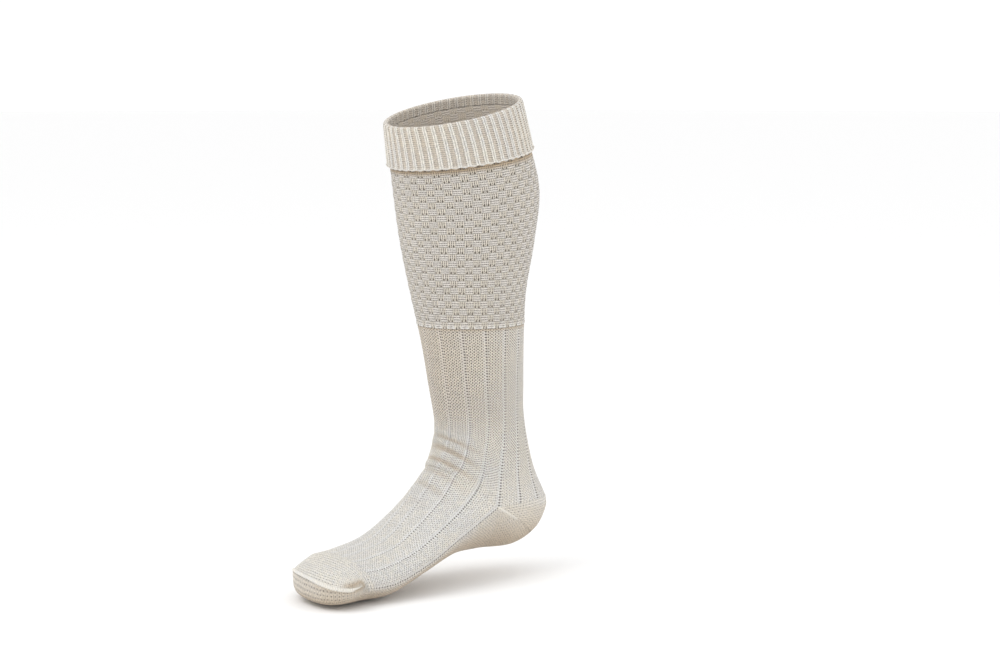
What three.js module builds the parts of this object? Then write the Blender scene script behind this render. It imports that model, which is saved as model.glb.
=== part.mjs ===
// Kilt hose sock for a right foot, shown worn. Millimetres, +Z up, toe towards -Y, big toe side +X.
// The knitted leg is hollow from the rim down to the toe. The origin is the middle of the leg opening.
import * as THREE from 'three';

// Driving dimensions of the leg
const legHeight = 384; // surface under the toes to the middle of the rim
const calfDepth = 123;
const calfWidth = 112;
const ankleDepth = 81;
const ankleWidth = 59;
const legLean = 24; // how far the rim lies outward of the ankle
const rimFrontDrop = 16;
const rimBackRise = 9;
const rimInnerDrop = 2;

// Driving dimensions of the foot
const footLength = 248; // back of the heel to the tip of the toe
const heelSetback = 60.5; // back of the heel behind the ankle's middle
const heelLift = 24; // underside of the raised heel above the toes' surface
const heelPocketHeight = 38;
const instepHeight = 95;
const toeHeight = 35;
const ballWidth = 88;

// Driving dimensions of the knitting
const wall = 2.2;
const cuffWall = 2.2;
const cuffDrop = 40;
const cuffLip = 8; // depth of the doubled fold at the top of the cuff
const hemBead = 0.7;
const panelLength = 178; // patterned panel, rim to lower border
const toeLength = 41; // plain-knit toe, from the last ribbed course to the tip
const ribCount = 14;
const furrowDepth = 0.9;
const cuffRibCount = 50;
const cuffFurrowDepth = 0.8;
const cuffLean = 3; // how far the cuff's ribs lean forward from its hem to the rim
const seamWidth = 3;
const seamHeight = 1.6;
const seamBank = 8; // how far the seam's outer end would lie above its inner end
const legTurn = 5; // degrees that the ribs turn inward above the ankle's folds
const foldDepth = 1.9;
const foldWidth = 4.2; // half height of an ankle fold
const clearance = 0.3;

// Derived levels and places
const goreHeight = heelLift + heelPocketHeight;
const legRise = legHeight - goreHeight;
const furrowShare = 0.11; // half of a furrow's width, as a share of the rib's width

// Leg sections from the rim down to the gore course. at: height, as a share of legRise above the gore
// course. deep and wide: 0 is the ankle's size and 1 the calf's. shift: middle's place along Y, as a
// share of calfDepth. lean: share of legLean. tilt: share of the rim's slope.
const legSections = [
  { at: 1.0, deep: 0.72, wide: 0.86, shift: -0.05, lean: 1.0, tilt: 1.0 },
  { at: 0.9, deep: 0.86, wide: 0.93, shift: -0.008, lean: 0.93, tilt: 0.75 },
  { at: 0.78, deep: 1.0, wide: 1.0, shift: 0.04, lean: 0.83, tilt: 0.4 },
  { at: 0.655, deep: 0.77, wide: 0.84, shift: 0.023, lean: 0.675, tilt: 0.15 },
  { at: 0.527, deep: 0.39, wide: 0.59, shift: 0.0, lean: 0.49, tilt: 0.0 },
  { at: 0.406, deep: 0.18, wide: 0.33, shift: 0.01, lean: 0.31, tilt: 0.0 },
  { at: 0.297, deep: 0.07, wide: 0.14, shift: 0.016, lean: 0.156, tilt: 0.0 },
  { at: 0.206, deep: 0.0, wide: 0.0, shift: 0.02, lean: 0.0, tilt: 0.0 },
];

// Foot sections. top and sole: places along the foot, as shares of footLength from the back of the
// heel. rise: 0 is toeHeight and 1 instepHeight. lift: share of heelLift. wide: 0 is the ankle's width
// and 1 the ball's. aside: middle's place inward of the ankle's, as a share of ballWidth.
const footSections = [
  { top: 0.455, rise: 1.0, sole: 0.292, lift: 1.0, wide: 0.23, aside: 0.108, square: 2.1 },
  { top: 0.548, rise: 0.6, sole: 0.448, lift: 1.0, wide: 0.42, aside: 0.14, square: 2.2 },
  { top: 0.66, rise: 0.16, sole: 0.588, lift: 0.6, wide: 0.83, aside: 0.106, square: 2.4 },
  { top: 0.768, rise: 0.03, sole: 0.72, lift: 0.06, wide: 1.0, aside: 0.096, square: 2.4 },
  { top: 0.852, rise: 0.0, sole: 0.828, lift: 0.02, wide: 0.86, aside: 0.11, square: 2.4 },
];
const sideLine = 0.42; // height of the foot's widest line between the sole and the top
const goreAlong = 0.288; // the gore point, as a share of footLength from the back of the heel

// The turn of the ankle, just above the gore course. front, side and back: shares of footLength from the
// back of the heel. Each rise: height above the gore course, as a share of legRise. wide, aside: as above.
const ankleTurn = {
  at: 0.09,
  front: 0.424,
  frontRise: 0.163,
  side: 0.276,
  sideRise: 0.088,
  back: 0.053,
  backRise: 0.082,
  wide: 0.11,
  aside: 0.089,
};

// Outline of the heel pocket behind the gore. along: share of footLength from the back of the heel.
// level: 0 is heelLift and 1 the gore course.
const heelOutline = [
  { along: 0.005, level: 1.0 },
  { along: 0.004, level: 0.72 },
  { along: 0.05, level: 0.27 },
  { along: 0.15, level: -0.02 },
  { along: 0.292, level: 0.0 },
];

// Outlines of the toe over and under the foot, to the tip. along: share of footLength from the back of the
// heel. level: share of toeHeight. aside: how far the tip lies inward, as a share of ballWidth. bank: share
// of seamBank.
const toeTop = [
  { along: 0.852, level: 1.0, aside: 0.0, bank: 0.0 },
  { along: 0.933, level: 0.86, aside: 0.12, bank: 0.3 },
  { along: 0.991, level: 0.66, aside: 0.19, bank: 1.0 },
];
const toeSole = [
  { along: 0.828, level: 0.02, aside: 0.0, bank: 0.0 },
  { along: 0.885, level: 0.03, aside: 0.04, bank: 0.1 },
  { along: 0.966, level: 0.16, aside: 0.13, bank: 0.4 },
  { along: 0.991, level: 0.66, aside: 0.19, bank: 1.0 },
];

// The line of the toe seam. at: place from its outer end to its inner one. angle: degrees from the front,
// towards the inner side. share: place on the toe's upper half, where 1 is its lower edge.
const seamLine = [
  { at: 0.0, angle: -40, share: 0.93 },
  { at: 0.42, angle: 0, share: 0.94 },
  { at: 0.88, angle: 70, share: 1.0 },
  { at: 1.0, angle: 79, share: 0.62 },
];

// Soft folds over the front of the ankle. at: height above the gore course, as a share of the leg below
// the calf panel, and on the instep below nought. angle: middle of the fold in degrees from the front,
// towards the inner side. reach: half its length in degrees. slope: rise of the fold for each 90 degrees,
// in the unit of at. depth: share of foldDepth. narrow: share of foldWidth.
const ankleFolds = [
  { at: 0.345, angle: 15, reach: 60, slope: -0.08, depth: 0.5, narrow: 1.2 },
  { at: 0.21, angle: 20, reach: 65, slope: -0.04, depth: 1.0, narrow: 1.1 },
  { at: 0.105, angle: 20, reach: 60, slope: 0.0, depth: 0.9, narrow: 1.0 },
  { at: 0.025, angle: 5, reach: 70, slope: -0.02, depth: 0.9, narrow: 0.9 },
  { at: -0.05, angle: 15, reach: 55, slope: -0.03, depth: 0.7, narrow: 0.9 },
  { at: -0.115, angle: 5, reach: 50, slope: -0.03, depth: 0.4, narrow: 1.0 },
];

const mix = (low, high, share) => low + (high - low) * share;
const radians = (degrees) => (degrees * Math.PI) / 180;

// A smooth curve through the rows of a table, read at a value of its key column
function readTable(rows, key, at) {
  let low = 0;
  const descending = rows[0][key] > rows[rows.length - 1][key];
  while (low < rows.length - 2 && (descending ? at < rows[low + 1][key] : at > rows[low + 1][key])) low += 1;
  const a = rows[Math.max(low - 1, 0)];
  const b = rows[low];
  const c = rows[low + 1];
  const d = rows[Math.min(low + 2, rows.length - 1)];
  const span = c[key] - b[key];
  const t = (at - b[key]) / span;
  const result = {};
  for (const name of Object.keys(b)) {
    const startSlope = ((c[name] - a[name]) / (c[key] - a[key])) * span;
    const endSlope = ((d[name] - b[name]) / (d[key] - b[key])) * span;
    const rise = c[name] - b[name];
    const bend = 3 * rise - 2 * startSlope - endSlope;
    const twist = startSlope + endSlope - 2 * rise;
    result[name] = b[name] + t * (startSlope + t * (bend + t * twist));
  }
  return result;
}

// A ring's frame: the front, side and back lines in the Y and Z plane, its middle along X and its half width
const alongFoot = (share) => heelSetback - share * footLength;

function footRow(row) {
  const soleHeight = row.lift * heelLift;
  const topHeight = mix(toeHeight, instepHeight, row.rise);
  return {
    frontY: alongFoot(row.top),
    frontZ: topHeight,
    sideY: alongFoot(row.sole),
    sideZ: mix(soleHeight, topHeight, sideLine),
    backY: alongFoot(row.sole),
    backZ: soleHeight,
    middle: row.aside * ballWidth,
    half: mix(ankleWidth, ballWidth, row.wide) / 2,
    square: row.square,
    lead: 0,
    slope: 0,
    bank: 0,
  };
}

function legRow(row) {
  const height = goreHeight + row.at * legRise;
  const depth = mix(ankleDepth, calfDepth, row.deep);
  const middleY = row.shift * calfDepth;
  return {
    at: row.at,
    frontY: middleY - depth / 2,
    frontZ: height - row.tilt * rimFrontDrop,
    sideY: middleY,
    sideZ: height - (row.tilt * (rimFrontDrop - rimBackRise)) / 2,
    backY: middleY + depth / 2,
    backZ: height + row.tilt * rimBackRise,
    middle: -row.lean * legLean,
    half: mix(ankleWidth, calfWidth, row.wide) / 2,
    square: 2,
    lead: 0,
    slope: (-row.tilt * rimInnerDrop * 2) / calfWidth,
    bank: 0,
  };
}

// The gore course, where the leg, the instep and the heel pocket meet
const instepRow = { ...footRow(footSections[0]), sideY: alongFoot(goreAlong), sideZ: goreHeight };
const goreRow = { ...instepRow, at: 0, backY: alongFoot(heelOutline[0].along), backZ: goreHeight };
const ankleTurnRow = {
  ...goreRow,
  at: ankleTurn.at,
  frontY: alongFoot(ankleTurn.front),
  frontZ: goreHeight + ankleTurn.frontRise * legRise,
  sideY: alongFoot(ankleTurn.side),
  sideZ: goreHeight + ankleTurn.sideRise * legRise,
  backY: alongFoot(ankleTurn.back),
  backZ: goreHeight + ankleTurn.backRise * legRise,
  middle: ankleTurn.aside * ballWidth,
  half: mix(ankleWidth, ballWidth, ankleTurn.wide) / 2,
  square: 2,
};
const legRows = [...legSections.map(legRow), ankleTurnRow, goreRow];
const footRows = [instepRow, ...footSections.slice(1).map(footRow)];
footRows.forEach((row, index) => Object.assign(row, { at: index }));
const toeGoreRow = footRows[footRows.length - 1];

// A point of a ring at an angle from the front towards the inner side
function ringPoint(row, angle) {
  const cosine = Math.cos(angle);
  const sine = Math.sin(angle);
  const power = 2 / row.square;
  const reach = Math.abs(cosine) < 1e-9 ? 0 : Math.sign(cosine) * Math.abs(cosine) ** power;
  const spread = Math.sign(sine) * Math.abs(sine) ** power;
  const front = cosine > 0;
  const across = row.half * spread;
  const lift = row.slope * across - (row.bank * across * Math.abs(reach)) / (row.half * 2);
  return new THREE.Vector3(
    row.middle + across + row.lead * Math.abs(reach),
    row.sideY + (front ? row.frontY - row.sideY : row.sideY - row.backY) * reach,
    row.sideZ + (front ? row.frontZ - row.sideZ : row.sideZ - row.backZ) * reach + lift,
  );
}

// Angles of half a ring, from a start angle, where its arc reaches the given shares of its length
function halfAngles(row, start, shares) {
  const steps = 72;
  const angles = Array.from({ length: steps + 1 }, (_, index) => start + (Math.PI * index) / steps);
  const lengths = [0];
  for (let index = 1; index <= steps; index += 1) {
    const chord = ringPoint(row, angles[index]).distanceTo(ringPoint(row, angles[index - 1]));
    lengths.push(lengths[index - 1] + chord);
  }
  return shares.map((share) => {
    const wanted = share * lengths[steps];
    let index = 1;
    while (index < steps && lengths[index] < wanted) index += 1;
    const part = (wanted - lengths[index - 1]) / (lengths[index] - lengths[index - 1]);
    return mix(angles[index - 1], angles[index], part);
  });
}

// Columns of half a ring: equal ribs along its arc, three columns to a furrow. Each has its angle and the
// relief of the furrow there. The two ends of the half are furrows too.
function ribColumns(row, start) {
  const ribs = ribCount / 2;
  const columns = [];
  for (let rib = 0; rib <= ribs; rib += 1) {
    for (const side of [-1, 0, 1]) {
      const share = (rib + side * furrowShare) / ribs;
      if (share >= 0 && share <= 1) columns.push({ share, relief: side === 0 ? -furrowDepth : 0 });
    }
  }
  const angles = halfAngles(row, start, columns.map(({ share }) => share));
  return columns.map(({ relief }, index) => ({ angle: angles[index], relief }));
}

const frontHalf = (row) => ribColumns(row, -Math.PI / 2);
const backHalf = (row) => ribColumns(row, Math.PI / 2);

function plainAngles(from, to, count) {
  return Array.from({ length: count + 1 }, (_, index) => mix(from, to, index / count));
}

// Height of the ankle folds at a share of the leg's rise and an angle
const foldZone = (legHeight - panelLength - goreHeight) / legRise;

function foldRelief(at, angle) {
  let total = 0;
  for (const fold of ankleFolds) {
    const turn = (angle - radians(fold.angle)) / radians(fold.reach);
    if (Math.abs(turn) >= 1) continue;
    const middle = fold.at * foldZone + (fold.slope * foldZone * (angle - radians(fold.angle))) / radians(90);
    const distance = ((at - middle) * legRise) / (fold.narrow * foldWidth);
    total += fold.depth * foldDepth * Math.exp(-distance * distance) * Math.cos((turn * Math.PI) / 2) ** 2;
  }
  return total;
}

// The net of one piece's outer face, from grids of points. Grids that share an edge are joined. Each
// point may carry relief, which moves the outer face alone, and fold, which moves both faces.
const fabricNormals = new Map();
const placeOf = (point) => point.toArray().map((value) => Math.round(value * 1e3)).join(' ');

function knittedNet(grids) {
  const net = { points: [], reliefs: [], folds: [], triangles: [] };
  const found = new Map();
  const indexOf = ({ point, relief = 0, fold = 0 }) => {
    const place = placeOf(point);
    if (!found.has(place)) {
      found.set(place, net.points.length);
      net.points.push(point);
      net.reliefs.push(relief);
      net.folds.push(fold);
    }
    return found.get(place);
  };
  const addTriangle = (a, b, c) => {
    if (a === b || b === c || c === a) return;
    net.triangles.push([a, b, c]);
    const [first, second, third] = [a, b, c].map((index) => net.points[index]);
    const normal = second.clone().sub(first).cross(third.clone().sub(first));
    for (const point of [first, second, third]) {
      const place = placeOf(point);
      fabricNormals.set(place, normal.clone().add(fabricNormals.get(place) ?? new THREE.Vector3()));
    }
  };
  for (const grid of grids) {
    const indices = grid.map((row) => row.map(indexOf));
    for (let row = 0; row + 1 < indices.length; row += 1) {
      for (let column = 0; column + 1 < indices[row].length; column += 1) {
        const a = indices[row][column];
        const b = indices[row][column + 1];
        const c = indices[row + 1][column + 1];
        const d = indices[row + 1][column];
        addTriangle(a, d, c);
        addTriangle(a, c, b);
      }
    }
  }
  return net;
}

// A closed shell of a net, drawn back by half the clearance along its borders. Where two pieces share a
// border, the normals there belong to both, so their walls end in the same plane.
function knittedShell({ points, reliefs, folds, triangles }, thickness) {
  const normals = points.map((point) => fabricNormals.get(placeOf(point)).clone().normalize());
  const halfEdges = new Set();
  for (const [a, b, c] of triangles) {
    for (const [from, to] of [[a, b], [b, c], [c, a]]) halfEdges.add(`${from} ${to}`);
  }

  const border = [];
  const inward = new Map();
  const sharpestCorner = 0.15; // limits how far a pointed corner is drawn back
  for (const edge of halfEdges) {
    const [from, to] = edge.split(' ').map(Number);
    if (halfEdges.has(`${to} ${from}`)) continue;
    border.push([from, to]);
    const along = points[to].clone().sub(points[from]).normalize();
    for (const index of [from, to]) {
      const across = normals[index].clone().cross(along).normalize();
      inward.set(index, [...(inward.get(index) ?? []), across]);
    }
  }
  const moved = (index, distance) => (
    points[index].clone().addScaledVector(normals[index], folds[index] + distance));
  const outer = points.map((_, index) => moved(index, reliefs[index]));
  const inner = points.map((_, index) => moved(index, -thickness));
  for (const [index, [first, second]] of inward) {
    const bisector = first.clone().add(second).normalize();
    const shift = bisector.multiplyScalar(clearance / 2 / Math.max(bisector.dot(first), sharpestCorner));
    outer[index].add(shift);
    inner[index].add(shift);
  }

  const count = points.length;
  const faces = [];
  for (const [a, b, c] of triangles) faces.push(a, b, c, a + count, c + count, b + count);
  for (const [from, to] of border) faces.push(to, from, from + count, to, from + count, to + count);
  return solidGeometry([...outer, ...inner], faces);
}

function solidGeometry(points, faces) {
  const geometry = new THREE.BufferGeometry();
  const coordinates = points.flatMap((point) => point.toArray());
  geometry.setAttribute('position', new THREE.Float32BufferAttribute(coordinates, 3));
  geometry.setIndex(faces);
  geometry.computeVertexNormals();
  return geometry;
}

// The outer face of the leg at a distance below the rim, and its outward direction
const atDrop = (drop) => 1 - drop / legRise;

function legPoint(drop, angle) {
  return ringPoint(readTable(legRows, 'at', atDrop(drop)), angle);
}

function legOutward(drop, angle) {
  const step = 1e-3;
  const around = legPoint(drop, angle + step).sub(legPoint(drop, angle - step));
  const down = legPoint(drop + step, angle).sub(legPoint(drop - step, angle));
  return down.cross(around).normalize();
}

// Turned-over cuff: one fabric that comes up to the rim, folds outward and hangs down to a beaded hem
function turnoverCuff() {
  const flapInside = clearance;
  const flapOutside = clearance + cuffWall;
  const foldHeight = (wall + flapOutside) * 0.3; // height of the rounded fold at the rim
  const section = [
    { drop: cuffLip, out: -wall },
    { drop: foldHeight, out: -wall },
    { drop: 0, out: (flapOutside - wall) / 2 },
    { drop: foldHeight, out: flapOutside, rib: 1 },
    { drop: cuffDrop / 2, out: flapOutside, rib: 1 },
    { drop: cuffDrop - cuffWall, out: flapOutside, rib: 1 },
    { drop: cuffDrop - cuffWall / 2, out: flapOutside + hemBead, rib: 0.3 },
    { drop: cuffDrop, out: (flapOutside + flapInside) / 2 },
    { drop: cuffDrop - cuffWall / 3, out: flapInside },
    { drop: cuffLip, out: flapInside },
  ];
  const columns = cuffRibCount * 2;
  const shares = Array.from({ length: cuffRibCount }, (_, index) => index / cuffRibCount);
  const angles = [-Math.PI / 2, Math.PI / 2].flatMap((start) => halfAngles(legRows[0], start, shares));
  const points = [];
  for (let column = 0; column < columns; column += 1) {
    const furrow = column % 2 ? cuffFurrowDepth : 0;
    for (const { drop, out, rib = 0 } of section) {
      const angle = angles[column] - (cuffLean / (calfWidth / 2)) * (1 - drop / cuffDrop) ** 2;
      points.push(legPoint(drop, angle).addScaledVector(legOutward(drop, angle), out - furrow * rib));
    }
  }
  const faces = [];
  for (let column = 0; column < columns; column += 1) {
    const next = (column + 1) % columns;
    for (let place = 0; place < section.length; place += 1) {
      const after = (place + 1) % section.length;
      const a = column * section.length + place;
      const b = next * section.length + place;
      const c = next * section.length + after;
      const d = column * section.length + after;
      faces.push(a, d, c, a, c, b);
    }
  }
  return solidGeometry(points, faces);
}

// A ring or half ring of points without relief, or with the relief of its columns and the ankle's folds
const plainRing = (row, columns) => columns.map(({ angle }) => ({ point: ringPoint(row, angle) }));

function ribbedRing(row, columns, foldsAt) {
  return columns.map(({ angle, relief }) => (
    { point: ringPoint(row, angle), relief, fold: foldRelief(foldsAt, angle) }));
}

// Calf panel: the patterned tube from under the cuff to its lower border
function calfPanel() {
  const rows = 8;
  const columns = plainAngles(-Math.PI, Math.PI, 36).map((angle) => ({ angle }));
  const grid = [];
  for (let index = 0; index <= rows; index += 1) {
    const drop = mix(cuffLip + clearance / 2, panelLength, index / rows);
    grid.push(plainRing(readTable(legRows, 'at', atDrop(drop)), columns));
  }
  return knittedNet([grid]);
}

// Ribbed leg: from the panel's lower border to the gore course, with close rows where the ankle folds
function ribbedLeg() {
  const plainRows = 3;
  const foldRows = 15;
  const aboveFolds = 0.09; // how far the close rows reach above the highest fold
  const foldTop = foldZone * (ankleFolds[0].at + aboveFolds);
  const levels = [];
  for (let index = 0; index < plainRows; index += 1) levels.push(mix(foldZone, foldTop, index / plainRows));
  for (let index = 0; index <= foldRows; index += 1) levels.push(mix(foldTop, 0, index / foldRows));
  const grid = levels.map((at) => {
    const row = readTable(legRows, 'at', at);
    const turn = radians(legTurn) * Math.min(1, at / (foldZone * ankleFolds[0].at));
    const columns = [...frontHalf(row), ...backHalf(row).slice(1)];
    return ribbedRing(row, columns.map(({ angle, relief }) => ({ angle: angle + turn, relief })), at);
  });
  return knittedNet([grid]);
}

// Ribbed foot: ribs along the instep and a plain sole, from the gore course to the toe
const toeStart = footRowAt(footLength - toeLength);
const instepRun = (alongFoot(footSections[0].top) - alongFoot(footSections[1].top)) / legRise;

// Place in the foot's table where its top line is at a distance from the back of the heel
function footRowAt(distance) {
  let low = 0;
  let high = footRows.length - 1;
  for (let halving = 0; halving < 20; halving += 1) {
    const middle = (low + high) / 2;
    if (heelSetback - readTable(footRows, 'at', middle).frontY < distance) low = middle;
    else high = middle;
  }
  return low;
}

function footRing(at) {
  const row = readTable(footRows, 'at', at);
  return [...ribbedRing(row, frontHalf(row), -at * instepRun), ...plainRing(row, backHalf(row).slice(1))];
}

function ribbedFoot() {
  const rows = 11;
  const grid = [];
  const crowding = 1.6; // rows lie closer together near the ankle's folds
  for (let index = 0; index <= rows; index += 1) grid.push(footRing(toeStart * (index / rows) ** crowding));
  return knittedNet([grid]);
}

// Heel pocket: half rings fanned about the gore points, from the gore course round to the sole
function heelPocket() {
  const rows = 6;
  const outline = heelOutline.map((row, index) => ({ ...row, at: index }));
  const grid = [];
  for (let index = 0; index <= rows; index += 1) {
    const { along, level } = readTable(outline, 'at', ((outline.length - 1) * index) / rows);
    const row = { ...goreRow, backY: alongFoot(along), backZ: mix(heelLift, goreHeight, level) };
    grid.push(plainRing(row, backHalf(row)));
  }
  return knittedNet([grid]);
}

// Plain-knit toe: a short tube, then an upper and a lower fan about the toe's gore points
function toeFanRow(outline, share) {
  const rows = outline.map((row, index) => ({ ...row, at: index }));
  const { along, level, aside, bank } = readTable(rows, 'at', (rows.length - 1) * share);
  return { along: alongFoot(along), level: level * toeHeight, lead: aside * ballWidth, bank: bank * seamBank };
}

function upperToeRow(share) {
  const { along, level, lead, bank } = toeFanRow(toeTop, share);
  return { ...toeGoreRow, frontY: along, frontZ: share === 0 ? toeGoreRow.frontZ : level, lead, bank };
}

function lowerToeRow(share) {
  const { along, level, lead, bank } = toeFanRow(toeSole, share);
  return { ...toeGoreRow, backY: along, backZ: share === 0 ? toeGoreRow.backZ : level, lead, bank };
}

function toePocket() {
  const fanRows = 5;
  const tubeRows = 2;
  const tube = [];
  for (let index = 0; index <= tubeRows; index += 1) {
    const row = readTable(footRows, 'at', mix(toeStart, footRows.length - 1, index / tubeRows));
    tube.push(plainRing(row, [...frontHalf(row), ...backHalf(row).slice(1)]));
  }
  const upper = [];
  const lower = [];
  for (let index = 0; index <= fanRows; index += 1) {
    const above = upperToeRow(index / fanRows);
    const below = lowerToeRow(index / fanRows);
    upper.push(plainRing(above, frontHalf(above)));
    lower.push(plainRing(below, backHalf(below)));
  }
  return knittedNet([tube, upper, lower]);
}

// Toe seam: a linked ridge that lies over the toe where its upper and lower halves meet
function seamPlace(at) {
  const { angle, share } = readTable(seamLine, 'at', at);
  return { turn: radians(angle), share: Math.min(share, 1) };
}

// A point of the toe beside the seam's line, or on it, at a share of the toe above or below it
function seamPoint(at, above = 0) {
  const { turn, share } = seamPlace(at);
  const fromEdge = 1 - share + above;
  if (fromEdge < 0) return ringPoint(lowerToeRow(1 + fromEdge), Math.PI - turn);
  return ringPoint(upperToeRow(1 - fromEdge), turn);
}

function toeSeam() {
  const sides = 6;
  const columns = 18;
  const step = 1e-3;
  const seamReach = 0.08; // share of the toe over which its slope beside the seam is taken
  const within = new THREE.Vector3(toeGoreRow.middle, toeGoreRow.sideY, toeGoreRow.sideZ);
  const points = [];
  for (let column = 0; column <= columns; column += 1) {
    const at = column / columns;
    const along = seamPoint(at + step).sub(seamPoint(at - step)).normalize();
    const across = seamPoint(at, seamReach).sub(seamPoint(at, -seamReach)).normalize();
    const outward = along.clone().cross(across).normalize();
    if (outward.dot(seamPoint(at).sub(within)) < 0) outward.negate();
    for (let side = 0; side < sides; side += 1) {
      const round = (side / sides) * 2 * Math.PI;
      points.push(seamPoint(at)
        .addScaledVector(across, (seamWidth / 2) * Math.cos(round))
        .addScaledVector(outward, clearance + (seamHeight / 2) * (1 + Math.sin(round))));
    }
  }
  const faces = [];
  for (let column = 0; column < columns; column += 1) {
    for (let side = 0; side < sides; side += 1) {
      const next = (side + 1) % sides;
      const a = column * sides + side;
      const b = column * sides + next;
      faces.push(a, b, b + sides, a, b + sides, a + sides);
    }
  }
  const last = columns * sides;
  for (let side = 1; side + 1 < sides; side += 1) {
    faces.push(0, side + 1, side, last, last + side, last + side + 1);
  }
  return solidGeometry(points, faces);
}

// The sock, with its origin at the middle of the leg opening
const wool = { roughness: 0.9, metalness: 0 };
const sock = new THREE.Group();

function addPiece(name, geometry, color) {
  const piece = new THREE.Mesh(geometry, new THREE.MeshStandardMaterial({ ...wool, color }));
  piece.name = name;
  sock.add(piece);
}

const knitted = [
  { name: 'calf_panel', net: calfPanel(), color: 0xdcd5c8 },
  { name: 'ribbed_leg', net: ribbedLeg(), color: 0xdfd8cb },
  { name: 'ribbed_foot', net: ribbedFoot(), color: 0xe4ded2 },
  { name: 'heel_pocket', net: heelPocket(), color: 0xe2dacd },
  { name: 'toe_pocket', net: toePocket(), color: 0xe0d8cb },
];
addPiece('turnover_cuff', turnoverCuff(), 0xe6dfd2);
for (const { name, net, color } of knitted) addPiece(name, knittedShell(net, wall), color);
addPiece('toe_seam', toeSeam(), 0xd2c8b8);

const rim = legRows[0];
const rimMiddle = new THREE.Vector3(rim.middle, (rim.frontY + rim.backY) / 2, (rim.frontZ + rim.backZ) / 2);
sock.position.copy(rimMiddle).negate();

const model = new THREE.Group();
model.add(sock);

export default model;
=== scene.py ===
"""Kilt hose sock, knitted round its CAD frame. Metres, +Z up, toe towards -Y, big toe side +X.

Each piece starts as a flat grid of wales and courses, is wrapped on to the sock's surface, and gets its
ribs, blocks and folds by moves of its points. Stitches are drawn by the materials, in wales and courses,
with painted shade in the gaps between them. Marks on the points paint shade into the wool's colour in the
folds, under the hems and the panel's border, inside the sock and under the foot.
"""
import math

import bpy
import numpy as np
from bpy.props import FloatProperty, FloatVectorProperty, IntProperty, PointerProperty
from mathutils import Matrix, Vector


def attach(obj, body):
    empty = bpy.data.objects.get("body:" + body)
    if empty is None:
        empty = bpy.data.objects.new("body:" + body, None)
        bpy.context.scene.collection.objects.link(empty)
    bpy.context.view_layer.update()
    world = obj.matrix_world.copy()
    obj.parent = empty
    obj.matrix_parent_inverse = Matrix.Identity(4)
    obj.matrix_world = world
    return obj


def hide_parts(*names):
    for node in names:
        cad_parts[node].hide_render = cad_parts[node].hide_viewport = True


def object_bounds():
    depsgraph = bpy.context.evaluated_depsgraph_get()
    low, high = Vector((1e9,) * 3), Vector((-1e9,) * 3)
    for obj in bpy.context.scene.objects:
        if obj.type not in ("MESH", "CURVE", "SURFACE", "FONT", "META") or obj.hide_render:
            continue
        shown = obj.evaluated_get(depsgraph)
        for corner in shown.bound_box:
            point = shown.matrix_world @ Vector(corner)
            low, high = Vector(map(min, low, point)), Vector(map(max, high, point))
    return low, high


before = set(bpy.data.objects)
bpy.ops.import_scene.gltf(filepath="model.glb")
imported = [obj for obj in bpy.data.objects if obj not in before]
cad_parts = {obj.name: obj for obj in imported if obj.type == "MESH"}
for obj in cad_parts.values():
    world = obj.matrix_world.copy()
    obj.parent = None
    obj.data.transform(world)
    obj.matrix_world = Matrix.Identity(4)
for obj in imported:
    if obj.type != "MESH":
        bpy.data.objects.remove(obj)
cad_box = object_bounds()

bl_info = {
    "name": "Kilt hose sock",
    "version": (1, 0, 0),
    "blender": (4, 5, 0),
    "location": "3D View > Sidebar > Sock",
    "description": "Knits a kilt hose sock round its CAD frame",
    "category": "Object",
}

BODY = "root"
INNER_EVERY = 8  # rows of a wall's outer face to one of its inner face
INNER_MARKS = (0.45, 0.8)  # shade and bareness of a wall's inner face
SHARP_EDGE = math.radians(72)
SAME_POINT = 2e-6
FOLD_SHADE = 0.62  # strength of the shade in the ankle's folds
UNDER_SHADE = 0.85  # strength of the shade under the foot
SAMPLES = 240  # points on a curve whose length is measured
NARROW_COLUMNS = 5  # columns of the mesh across a wale of the cuff or the calf panel
LEG_STEP = 0.006  # how far past its border a piece looks for its neighbour's slope, as a share of the leg
FOOT_STEP = 0.03  # the same on the foot and the heel


def length(name, description, default):
    """A size of the sock in metres."""
    return FloatProperty(
        name=name, description=description, default=default, subtype="DISTANCE", unit="LENGTH"
    )


def count(name, description, default):
    """A number of stitches."""
    return IntProperty(name=name, description=description, default=default, min=1)


def colour(name, description, default):
    """A colour of the yarn or of the stage."""
    return FloatVectorProperty(
        name=name, description=description, default=default, subtype="COLOR", size=3, min=0.0, max=1.0
    )


def degrees(name, description, default):
    """An angle, given in degrees."""
    return FloatProperty(name=name, description=description, default=math.radians(default), subtype="ANGLE")


def power(name, description, default):
    """The power of a light in watts."""
    return FloatProperty(name=name, description=description, default=default, unit="POWER")


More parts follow.
